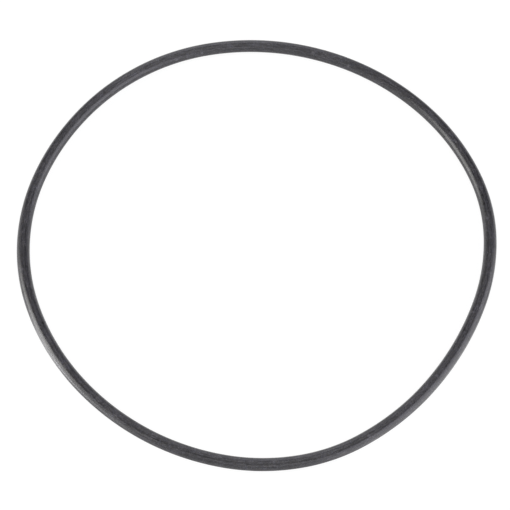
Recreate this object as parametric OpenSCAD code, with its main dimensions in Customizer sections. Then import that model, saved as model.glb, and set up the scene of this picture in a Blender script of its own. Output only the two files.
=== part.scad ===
// Rubber O-ring, lying loose and flat, a little out of round.
// X and Y span the ring's middle plane, Z is up, and the origin is the ring's centre of mass.

/* [Ring] */
// Inside diameter of the ring when it is truly round
inside_diameter = 126.59; // [100:0.01:250]
// Diameter of the rubber's round section
section_diameter = 3.53; // [1.8:0.01:7]

/* [Parting line] */
// Height of the fine ridge where the mould's halves met, round the inside and the outside
ridge_height = 0.04; // [0.01:0.01:0.15]
// Width of that ridge
ridge_width = 0.12; // [0.04:0.01:0.4]

/* [Oval] */
// About how far the loose outline stands outside a true circle at the two ends of its oval
oval_swell = 0.23; // [0:0.01:1]
// Heading of one end of the oval, counted from +X towards +Y
oval_heading = 109; // [0:0.5:180]

/* [Three corners] */
// About how far the outline stands outside a true circle at its three soft corners
three_swell = 0.61; // [0:0.01:1]
// Heading of one of the three corners
three_heading = 27; // [0:0.5:120]

/* [Four corners] */
// About how far the outline stands outside a true circle at its four soft corners
four_swell = 0.6; // [0:0.01:0.8]
// Heading of one of the four corners
four_heading = 10.5; // [0:0.5:90]

/* [Five corners] */
// About how far the outline stands outside a true circle at its five soft corners
five_swell = 0.09; // [0:0.01:0.3]
// Heading of one of the five corners
five_heading = 71; // [0:0.5:72]

/* [Six corners] */
// About how far the outline stands outside a true circle at its six soft corners
six_swell = 0.12; // [0:0.01:0.3]
// Heading of one of the six corners
six_heading = 58.5; // [0:0.5:60]

/* [Hidden] */

// The line through the middle of the rubber is a closed chain of arcs.
// Each arc turns through the same angle and runs on smoothly from the one before.
arcs = 18;
turn = 360 / arcs;
round_radius = (inside_diameter + section_diameter) / 2;

// Corners, swell and heading of each wave in the outline.
swells = [
    [2, oval_swell, oval_heading],
    [3, three_swell, three_heading],
    [4, four_swell, four_heading],
    [5, five_swell, five_heading],
    [6, six_swell, six_heading],
];

function total(terms, i = 0) = i < len(terms) ? terms[i] + total(terms, i + 1) : terms[0] * 0;
function direction(angle) = [cos(angle), sin(angle), 0];

// A wave of n corners changes the bend radius by 1 - n * n times its height.
// Waves of two corners or more leave the loop closed, and as long as the round ring.
function bend(swell, angle) =
    (1 - pow(swell[0], 2)) * swell[1] * cos(swell[0] * (angle - swell[2]));
bend_radius = [
    for (i = [0:arcs - 1])
        round_radius + total([for (swell = swells) bend(swell, (i + 0.5) * turn)])
];

// Centres of the arcs, from that of the first. Neighbours share the line through their joint.
function arc_centre(i) = i == 0
    ? [0, 0, 0]
    : arc_centre(i - 1) + (bend_radius[i - 1] - bend_radius[i]) * direction(i * turn);

// Centre of mass of each arc's line, and from these the centre of mass of the ring.
arc_mass_share = sin(turn / 2) / (turn / 2 * PI / 180);
function arc_mass_centre(i) =
    arc_centre(i) + bend_radius[i] * arc_mass_share * direction((i + 0.5) * turn);
ring_mass_centre =
    total([for (i = [0:arcs - 1]) bend_radius[i] * arc_mass_centre(i)]) / total(bend_radius);

// Moves its children in two steps, whole microns and then the rest, so that no digit is lost
// and the ends of neighbouring arcs meet face to face.
micron = 0.001;
module moved(place) {
    whole_microns = [for (part = place) round(part / micron) * micron];
    translate(whole_microns) translate(place - whole_microns) children();
}

// The round rubber, with the ridge of the parting line on the inside and the outside.
module section() {
    circle(d = section_diameter, $fn = 48);
    square([section_diameter + 2 * ridge_height, ridge_width], center = true);
}

module ring_arc(i) {
    moved(arc_centre(i) - ring_mass_centre)
        rotate_extrude(angle = turn, start = i * turn, $fn = 180)
            moved([bend_radius[i], 0, 0])
                section();
}

module o_ring() {
    color([0.13, 0.13, 0.14])
        for (i = [0:arcs - 1])
            ring_arc(i);
}

o_ring();
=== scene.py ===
"""A black rubber o-ring lying flat on a white table, in soft studio light."""

import math

import bpy
import numpy as np
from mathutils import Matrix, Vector


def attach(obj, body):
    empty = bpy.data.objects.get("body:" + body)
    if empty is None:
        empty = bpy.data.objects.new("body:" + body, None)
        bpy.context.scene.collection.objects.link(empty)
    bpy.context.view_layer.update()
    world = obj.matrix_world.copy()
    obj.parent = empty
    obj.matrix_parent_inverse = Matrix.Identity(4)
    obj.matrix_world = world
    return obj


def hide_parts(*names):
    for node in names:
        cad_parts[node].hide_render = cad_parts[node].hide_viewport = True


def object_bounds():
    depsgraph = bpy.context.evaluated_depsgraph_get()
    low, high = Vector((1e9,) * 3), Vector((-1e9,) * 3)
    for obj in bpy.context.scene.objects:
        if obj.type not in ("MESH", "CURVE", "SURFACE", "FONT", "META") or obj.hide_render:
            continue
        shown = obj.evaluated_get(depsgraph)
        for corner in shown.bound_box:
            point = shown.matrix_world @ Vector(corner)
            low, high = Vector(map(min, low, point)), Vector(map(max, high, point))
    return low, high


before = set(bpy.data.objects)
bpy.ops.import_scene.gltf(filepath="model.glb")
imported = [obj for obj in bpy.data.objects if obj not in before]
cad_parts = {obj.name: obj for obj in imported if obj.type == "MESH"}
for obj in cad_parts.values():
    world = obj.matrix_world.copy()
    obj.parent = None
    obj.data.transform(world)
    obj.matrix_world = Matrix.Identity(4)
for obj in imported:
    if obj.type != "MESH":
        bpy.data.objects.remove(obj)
cad_low, cad_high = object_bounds()

MM = 0.001

# The ring, as in the frame
INSIDE_DIAMETER = 126.59 * MM
SECTION_DIAMETER = 3.53 * MM
RIDGE_HEIGHT = 0.04 * MM
RIDGE_WIDTH = 0.12 * MM
ARCS = 18
# Corners, swell and heading in degrees of each wave in the loose outline
SWELLS = (
    (2, 0.23 * MM, 109),
    (3, 0.61 * MM, 27),
    (4, 0.60 * MM, 10.5),
    (5, 0.09 * MM, 71),
    (6, 0.12 * MM, 58.5),
)

# How finely the ring is meshed
STATIONS_PER_ARC = 60
POINTS_ROUND_HALF = 40
RIDGE_POINTS = 3

# The rubber's colours, from bare black to its palest grain, which shifts between two greys
BLACK = (0.0057, 0.0054, 0.0061, 1)
VIOLET_GREY = (0.124, 0.117, 0.123, 1)
BLUE_GREY = (0.117, 0.116, 0.143, 1)
DUST = (0.2, 0.2, 0.21, 1)
PALE_POWER = 2.1
LEAST_ROUGH = 0.31
MOST_ROUGH = 0.33
RUBBER_IOR = 1.5
RELIEF_HEIGHT = 0.0022 * MM

# Grain per millimetre of the skin, how much shorter it is along the ring, and its share
FINE_GRAIN = 4.2
FINE_ALONG = 0.8
FINE_SHARE = 0.75
STREAKS = 4.5
STREAKS_ALONG = 0.12
STREAKS_SHARE = 0.55
BLOOM_PER_METRE = 260.0
HUES_PER_MM = 1.6
DUST_CELLS_PER_MM = 1.3

# Pale and dark spots on the rubber: heading, and angle round the section from the outside up
PALE_SPOTS = (
    (4.5, 105),
    (22.5, 125),
    (65, 130),
    (74.5, 115),
    (103, 145),
    (110.5, 150),
    (189, 75),
    (201, 35),
    (216, 35),
    (301.5, 75),
    (322, 95),
    (337, 115),
)
DARK_SPOTS = (
    (10, 115),
    (13, 110),
    (195.5, 40),
    (205, 115),
    (333, 110),
)
PALE_STRENGTH = 0.49
DARK_STRENGTH = 0.43
# Reach of a spot in millimetres
SPOT_SIZE = 0.6

# A soft dark line along the front, which is painted shade: a dark reflection painted into the rubber's
# colour.
# Headings of its two ends, angle round the section, and in millimetres its reach to each side and the
# length over which each end fades
REFLECTION_LINE_HEADINGS = (236, 304)
REFLECTION_LINE_ANGLE = 73
REFLECTION_LINE_REACH = 0.35
REFLECTION_LINE_FADE = 10
REFLECTION_LINE_DEPTH = 0.14

TABLE_Z = cad_low.z
TABLE_HALF = 6.0
TABLE_COLOUR = (0.9, 0.9, 0.9, 1)
TABLE_ROUGHNESS = 0.3
TABLE_WHITE = 1.05
# Share of plain white in the table that the camera and reflections see
TABLE_HAZE = 0.88
# Where the table is lit past white beside the ring, which only reflections show:
# x, y, reach and strength
POOLS = (
    (-82 * MM, -47 * MM, 30 * MM, 17.0),
    (-66 * MM, -76 * MM, 30 * MM, 6.0),
    (75 * MM, -52 * MM, 32 * MM, 4.0),
    (48 * MM, -78 * MM, 30 * MM, 3.7),
)

# The world is dim, and shows as a white wall below the height where its direction's z fades
WORLD_LIGHT = 0.035
WALL_WHITE = 0.95
WALL_TOP = (0.16, 0.24)

WHITE = (1.0, 1.0, 1.0)
WARM = (1.0, 0.99, 0.955)
COOL = (0.945, 0.935, 1.0)
# Azimuth and elevation in degrees, distance, width and height in metres, radiance, colour
LAMPS = (
    ("key", 179.5, 19, 0.98, 0.5, 1.02, 6.0, WARM),
    ("key_card", 210, 2.5, 0.12, 0.095, 0.063, 1.6, WHITE),
    ("fill", -14, 22.5, 1.31, 1.5, 1.54, 2.85, COOL),
    ("wing", -57.5, 19, 1.0, 0.32, 0.74, 2.15, COOL),
    ("front", -88, 37, 0.99, 0.64, 0.5, 1.85, WHITE),
    ("back", 95, 33.5, 0.82, 0.42, 0.58, 2.2, COOL),
    ("top", 2.5, 85, 0.85, 0.65, 0.35, 1.8, WHITE),
    ("left_front", -130, 44, 0.59, 0.23, 0.32, 1.4, WHITE),
)

CAMERA_DISTANCE = 0.631
CAMERA_ELEVATION = 63
CAMERA_AIM = Vector((-0.35 * MM, -3.56 * MM, 0))
LENS_MM = 159.1
SENSOR_MM = 36


def heading(angle):
    """Unit vector in the ring's plane."""
    return np.array([math.cos(angle), math.sin(angle)])


def bend_radius(arc):
    """Radius of one arc of the line through the middle of the rubber."""
    middle = (arc + 0.5) * 2 * math.pi / ARCS
    round_radius = (INSIDE_DIAMETER + SECTION_DIAMETER) / 2
    return round_radius + sum(
        (1 - corners**2) * swell * math.cos(corners * (middle - math.radians(crest)))
        for corners, swell, crest in SWELLS
    )


def ring_line():
    """Points along the middle of the rubber, round its centre of mass, and outward headings."""
    turn = 2 * math.pi / ARCS
    radii = [bend_radius(arc) for arc in range(ARCS)]
    centre = np.zeros(2)
    points, headings = [], []
    mass_centre = np.zeros(2)
    mass_share = math.sin(turn / 2) / (turn / 2)
    for arc, radius in enumerate(radii):
        if arc:
            centre = centre + (radii[arc - 1] - radius) * heading(arc * turn)
        mass_centre += radius * (centre + radius * mass_share * heading((arc + 0.5) * turn))
        for step in range(STATIONS_PER_ARC):
            angle = (arc + step / STATIONS_PER_ARC) * turn
            points.append(centre + radius * heading(angle))
            headings.append(heading(angle))
    return np.array(points) - mass_centre / sum(radii), np.array(headings)


def section_outline():
    """Points round the rubber's section as (outward, up), with the ridge on both sides."""
    radius = (cad_high.z - cad_low.z) / 2
    edge = math.asin(RIDGE_WIDTH / 2 / radius)
    outline = []
    for side in (1, -1):
        for step in range(RIDGE_POINTS):
            up = RIDGE_WIDTH * (step / (RIDGE_POINTS - 1) - 0.5)
            outline.append((side * (radius + RIDGE_HEIGHT), side * up))
        for step in range(POINTS_ROUND_HALF):
            angle = edge + (math.pi - 2 * edge) * step / (POINTS_ROUND_HALF - 1)
            outline.append((side * radius * math.cos(angle), side * radius * math.sin(angle)))
    return np.array(outline)


def make_ring():
    """The ring as one closed mesh, held inside the frame's box."""
    points, headings = ring_line()
    outline = section_outline()
    stations, around = len(points), len(outline)
    flat = points[:, None, :] + headings[:, None, :] * outline[None, :, :1]
    tall = np.broadcast_to(outline[None, :, 1:], (stations, around, 1))
    vertices = np.concatenate([flat, tall], axis=2).reshape(-1, 3)
    vertices = np.clip(vertices, cad_low, cad_high)
    faces = []
    for i in range(stations):
        j = (i + 1) % stations
        for k in range(around):
            m = (k + 1) % around
            faces.append((i * around + k, j * around + k, j * around + m, i * around + m))
    mesh = bpy.data.meshes.new("ring")
    mesh.from_pydata(vertices.tolist(), [], faces)
    mesh.shade_smooth()
    unroll_skin(mesh, points, outline)
    ring = bpy.data.objects.new("ring", mesh)
    bpy.context.scene.collection.objects.link(ring)
    return ring


def skin_length(points):
    """Length along the ring from the first station to each, and back to it, in millimetres."""
    steps = np.linalg.norm(np.roll(points, -1, axis=0) - points, axis=1)
    return np.concatenate([[0], np.cumsum(steps)]) / MM


def skin_place(direction, angle):
    """Where a heading and an angle round the section lie on the straightened skin, in millimetres."""
    along = skin_length(ring_line()[0])
    station = round(direction / 360 * ARCS * STATIONS_PER_ARC)
    radius = SECTION_DIAMETER / 2 / MM
    a = math.radians(angle)
    return radius * math.cos(a), radius * math.sin(a), along[station]


def unroll_skin(mesh, points, outline):
    """Give each face corner its place on the straightened skin: section across, length along."""
    along = skin_length(points)
    around = len(outline)
    i = np.repeat(np.arange(len(points)), around)
    k = np.tile(np.arange(around), len(points))
    corners = [(i, k), (i + 1, k), (i + 1, (k + 1) % around), (i, (k + 1) % around)]
    skin = np.stack([np.column_stack([outline[b] / MM, along[a]]) for a, b in corners], axis=1)
    layer = mesh.attributes.new("skin", "FLOAT_VECTOR", "CORNER")
    layer.data.foreach_set("vector", skin.astype(np.float32).ravel())


class Wiring:
    """Wires the nodes of one material or of the world."""

    def __init__(self, owner, shader="Principled BSDF"):
        owner.use_nodes = True
        self.tree = owner.node_tree
        self.shader = self.tree.nodes[shader]

    def feed(self, socket, value):
        if isinstance(value, bpy.types.NodeSocket):
            self.tree.links.new(value, socket)
        else:
            socket.default_value = value

    def node(self, kind, inputs, **settings):
        node = self.tree.nodes.new("ShaderNode" + kind)
        for name, value in settings.items():
            setattr(node, name, value)
        for name, value in inputs.items():
            self.feed(node.inputs[name], value)
        return node

    def math(self, operation, *values):
        inputs = dict(enumerate(values))
        return self.node("Math", inputs, operation=operation).outputs[0]

    def distance(self, a, b):
        return self.node("VectorMath", {0: a, 1: b}, operation="DISTANCE").outputs["Value"]

    def span(self, value, from_low, from_high, to_low, to_high):
        """Map a range of values to another, and hold the ends."""
        names = ("Value", "From Min", "From Max", "To Min", "To Max")
        inputs = dict(zip(names, (value, from_low, from_high, to_low, to_high)))
        return self.node("MapRange", inputs).outputs["Result"]

    def stretch(self, vector, scale):
        return self.node("Mapping", {"Vector": vector, "Scale": scale}).outputs["Vector"]

    def upward(self, vector):
        """The vector's z, which on the skin is the length along the ring."""
        return self.node("SeparateXYZ", {"Vector": vector}).outputs["Z"]

    def noise(self, vector, scale, detail=0.0, roughness=0.5):
        inputs = {"Vector": vector, "Scale": scale, "Detail": detail, "Roughness": roughness}
        return self.node("TexNoise", inputs).outputs["Fac"]

    def blend(self, factor, a, b):
        """Mix two colours, whose sockets share their names with others and so go by number."""
        mix = self.node("Mix", {}, data_type="RGBA")
        self.feed(mix.inputs["Factor"], factor)
        self.feed(mix.inputs[6], a)
        self.feed(mix.inputs[7], b)
        return mix.outputs[2]

    def out(self, name, value):
        self.feed(self.shader.inputs[name], value)


def fine_grain(rubber, skin):
    """Fine grain mixed with streaks along the ring, around a half."""
    fine = rubber.noise(rubber.stretch(skin, (1, 1, FINE_ALONG)), FINE_GRAIN, 2.0, 0.7)
    streaks = rubber.noise(rubber.stretch(skin, (1, 1, STREAKS_ALONG)), STREAKS, 2.0, 0.6)
    streaks = rubber.math("MULTIPLY", streaks, STREAKS_SHARE)
    grain = rubber.math("MULTIPLY_ADD", fine, FINE_SHARE, streaks)
    return rubber.math("SUBTRACT", grain, (FINE_SHARE + STREAKS_SHARE - 1) / 2)


def spots(rubber, skin, places, strength):
    """Sum of the spots of one kind at this place on the skin."""
    total = 0.0
    for direction, angle in places:
        gap = rubber.distance(skin, skin_place(direction, angle))
        total = rubber.math("ADD", total, rubber.span(gap, 0, SPOT_SIZE, strength, 0))
    return total


def painted_reflection_line(rubber, skin):
    """How much darker this place on the skin is for the painted dark reflection along the front."""
    outward, up, start = skin_place(REFLECTION_LINE_HEADINGS[0], REFLECTION_LINE_ANGLE)
    end = skin_place(REFLECTION_LINE_HEADINGS[1], REFLECTION_LINE_ANGLE)[2]
    gap = rubber.distance(rubber.stretch(skin, (1, 1, 0)), (outward, up, 0))
    depth = rubber.span(gap, 0, REFLECTION_LINE_REACH, REFLECTION_LINE_DEPTH, 0)
    place = rubber.upward(skin)
    first = rubber.span(place, start, start + REFLECTION_LINE_FADE, 0, 1)
    last = rubber.span(place, end - REFLECTION_LINE_FADE, end, 1, 0)
    return rubber.math("MULTIPLY", depth, rubber.math("MULTIPLY", first, last))


def dust_specks(rubber, skin):
    """1 on a speck of dust, 0 elsewhere. Specks lie only where the rubber faces up."""
    cells = rubber.node("TexVoronoi", {"Vector": skin, "Scale": DUST_CELLS_PER_MM})
    near = rubber.span(cells.outputs["Distance"], 0.08, 0.16, 1, 0)
    chosen = rubber.node("SeparateColor", {"Color": cells.outputs["Color"]}).outputs[0]
    few = rubber.span(chosen, 0.93, 0.95, 0, 1)
    up = rubber.upward(rubber.node("NewGeometry", {}).outputs["Normal"])
    facing_up = rubber.span(up, 0.2, 0.7, 0, 1)
    return rubber.math("MULTIPLY", rubber.math("MULTIPLY", near, few), facing_up)


def relief(rubber, skin):
    """Normal of the surface with fine pits and long faint lines."""
    pits = rubber.noise(rubber.stretch(skin, (1, 1, 0.8)), 3.0, 2.0, 0.6)
    lines = rubber.noise(rubber.stretch(skin, (1, 1, 0.02)), 4.0, 1.0)
    height = rubber.math("ADD", pits, rubber.math("MULTIPLY", lines, 0.4))
    bump = rubber.node("Bump", {"Strength": 1.0, "Distance": RELIEF_HEIGHT, "Height": height})
    return bump.outputs["Normal"]


def make_rubber():
    """Satin black rubber: pale grain and streaks, faint bloom, spots, and specks of dust on top."""
    material = bpy.data.materials.new("rubber")
    rubber = Wiring(material)
    skin = rubber.node("Attribute", {}, attribute_name="skin").outputs["Vector"]
    place = rubber.node("TexCoord", {}).outputs["Object"]

    grain = fine_grain(rubber, skin)
    pale = rubber.math("POWER", rubber.span(grain, 0.19, 0.81, 0, 1), PALE_POWER)
    bloom = rubber.span(rubber.noise(place, BLOOM_PER_METRE, 2.0), 0.3, 0.7, 0.75, 1.25)
    shade = rubber.math("MULTIPLY", pale, bloom)
    shade = rubber.math("ADD", shade, spots(rubber, skin, PALE_SPOTS, PALE_STRENGTH))
    shade = rubber.math("SUBTRACT", shade, spots(rubber, skin, DARK_SPOTS, DARK_STRENGTH))
    # Painted shade: the dark reflection line along the front is taken out of the colour
    shade = rubber.math("SUBTRACT", shade, painted_reflection_line(rubber, skin))
    hue = rubber.span(rubber.noise(skin, HUES_PER_MM, 1.0), 0.35, 0.65, 0, 1)
    colour = rubber.blend(shade, BLACK, rubber.blend(hue, VIOLET_GREY, BLUE_GREY))

    dust = dust_specks(rubber, skin)
    sheen = rubber.span(grain, 0.3, 0.7, LEAST_ROUGH, MOST_ROUGH)
    rubber.out("Base Color", rubber.blend(dust, colour, DUST))
    rubber.out("Roughness", rubber.math("MAXIMUM", sheen, dust))
    rubber.out("IOR", RUBBER_IOR)
    rubber.out("Normal", relief(rubber, skin))
    return material


def background_rays(wiring):
    """1 for rays that look at the background straight or in a reflection, 0 for light on the object."""
    path = wiring.node("LightPath", {}).outputs
    seen = wiring.math("MAXIMUM", path["Is Camera Ray"], path["Is Glossy Ray"])
    return wiring.math("MAXIMUM", seen, path["Is Transmission Ray"])


def make_white():
    """The table's white: a lit surface, which background rays see most of the way to plain white."""
    material = bpy.data.materials.new("table")
    white = Wiring(material)
    white.out("Base Color", TABLE_COLOUR)
    white.out("Roughness", TABLE_ROUGHNESS)
    place = white.node("TexCoord", {}).outputs["Object"]
    extra = 0.0
    for x, y, reach, strength in POOLS:
        gap = white.distance(place, (x, y, TABLE_Z))
        extra = white.math("ADD", extra, white.span(gap, 0, reach, strength, 0))
    gloss = white.node("LightPath", {}).outputs["Is Glossy Ray"]
    strength = white.math("MULTIPLY_ADD", extra, gloss, TABLE_WHITE)
    glow = white.node("Emission", {"Color": (1, 1, 1, 1), "Strength": strength}).outputs[0]
    haze = white.math("MULTIPLY", background_rays(white), TABLE_HAZE)
    mix = white.node("MixShader", {"Fac": haze, 1: white.shader.outputs[0], 2: glow})
    white.feed(white.tree.nodes["Material Output"].inputs["Surface"], mix.outputs[0])
    # The glow lights nothing by itself, so looking for its light would only add noise
    material.cycles.emission_sampling = "NONE"
    return material


def make_table():
    """A wide flat table under the ring."""
    mesh = bpy.data.meshes.new("table")
    corners = [(-1, -1), (1, -1), (1, 1), (-1, 1)]
    vertices = [(x * TABLE_HALF, y * TABLE_HALF, TABLE_Z) for x, y in corners]
    mesh.from_pydata(vertices, [], [(0, 1, 2, 3)])
    mesh.materials.append(make_white())
    table = bpy.data.objects.new("table", mesh)
    bpy.context.scene.collection.objects.link(table)


def softbox(name, azimuth, elevation, distance, width, height, radiance, colour):
    """A rectangular lamp that faces the ring. Azimuth counts from +X towards +Y."""
    a, e = math.radians(azimuth), math.radians(elevation)
    towards = Vector((math.cos(a) * math.cos(e), math.sin(a) * math.cos(e), math.sin(e)))
    data = bpy.data.lights.new(name, "AREA")
    data.shape = "RECTANGLE"
    data.size = width
    data.size_y = height
    data.energy = radiance * math.pi * width * height
    data.color = colour
    lamp = bpy.data.objects.new(name, data)
    lamp.location = towards * distance
    lamp.rotation_mode = "QUATERNION"
    lamp.rotation_quaternion = towards.to_track_quat("Z", "Y")
    lamp.visible_camera = False
    bpy.context.scene.collection.objects.link(lamp)


def make_world():
    """A dim room with a low white wall in the distance, which only background rays see."""
    world = bpy.data.worlds.new("studio")
    world.cycles.sampling_method = "NONE"
    bpy.context.scene.world = world
    room = Wiring(world, "Background")
    height = room.upward(room.node("TexCoord", {}).outputs["Generated"])
    wall = room.math("MULTIPLY", background_rays(room), room.span(height, *WALL_TOP, 1, 0))
    room.out("Color", (1, 1, 1, 1))
    room.out("Strength", room.span(wall, 0, 1, WORLD_LIGHT, WALL_WHITE))


def make_camera():
    """The camera in front of the ring, looking down at it."""
    elevation = math.radians(CAMERA_ELEVATION)
    data = bpy.data.cameras.new("camera")
    data.lens = LENS_MM
    data.sensor_width = SENSOR_MM
    data.clip_start = 0.05
    data.clip_end = 20
    camera = bpy.data.objects.new("camera", data)
    camera.location = Vector((0, -math.cos(elevation), math.sin(elevation))) * CAMERA_DISTANCE
    camera.rotation_mode = "QUATERNION"
    camera.rotation_quaternion = (camera.location - CAMERA_AIM).to_track_quat("Z", "Y")
    bpy.context.scene.collection.objects.link(camera)
    bpy.context.scene.camera = camera


ring = make_ring()
ring.data.materials.append(make_rubber())
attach(ring, "root")
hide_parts("o_ring")
make_table()
make_world()
for lamp in LAMPS:
    softbox(*lamp)
make_camera()

scene = bpy.context.scene
scene.view_settings.view_transform = "Standard"
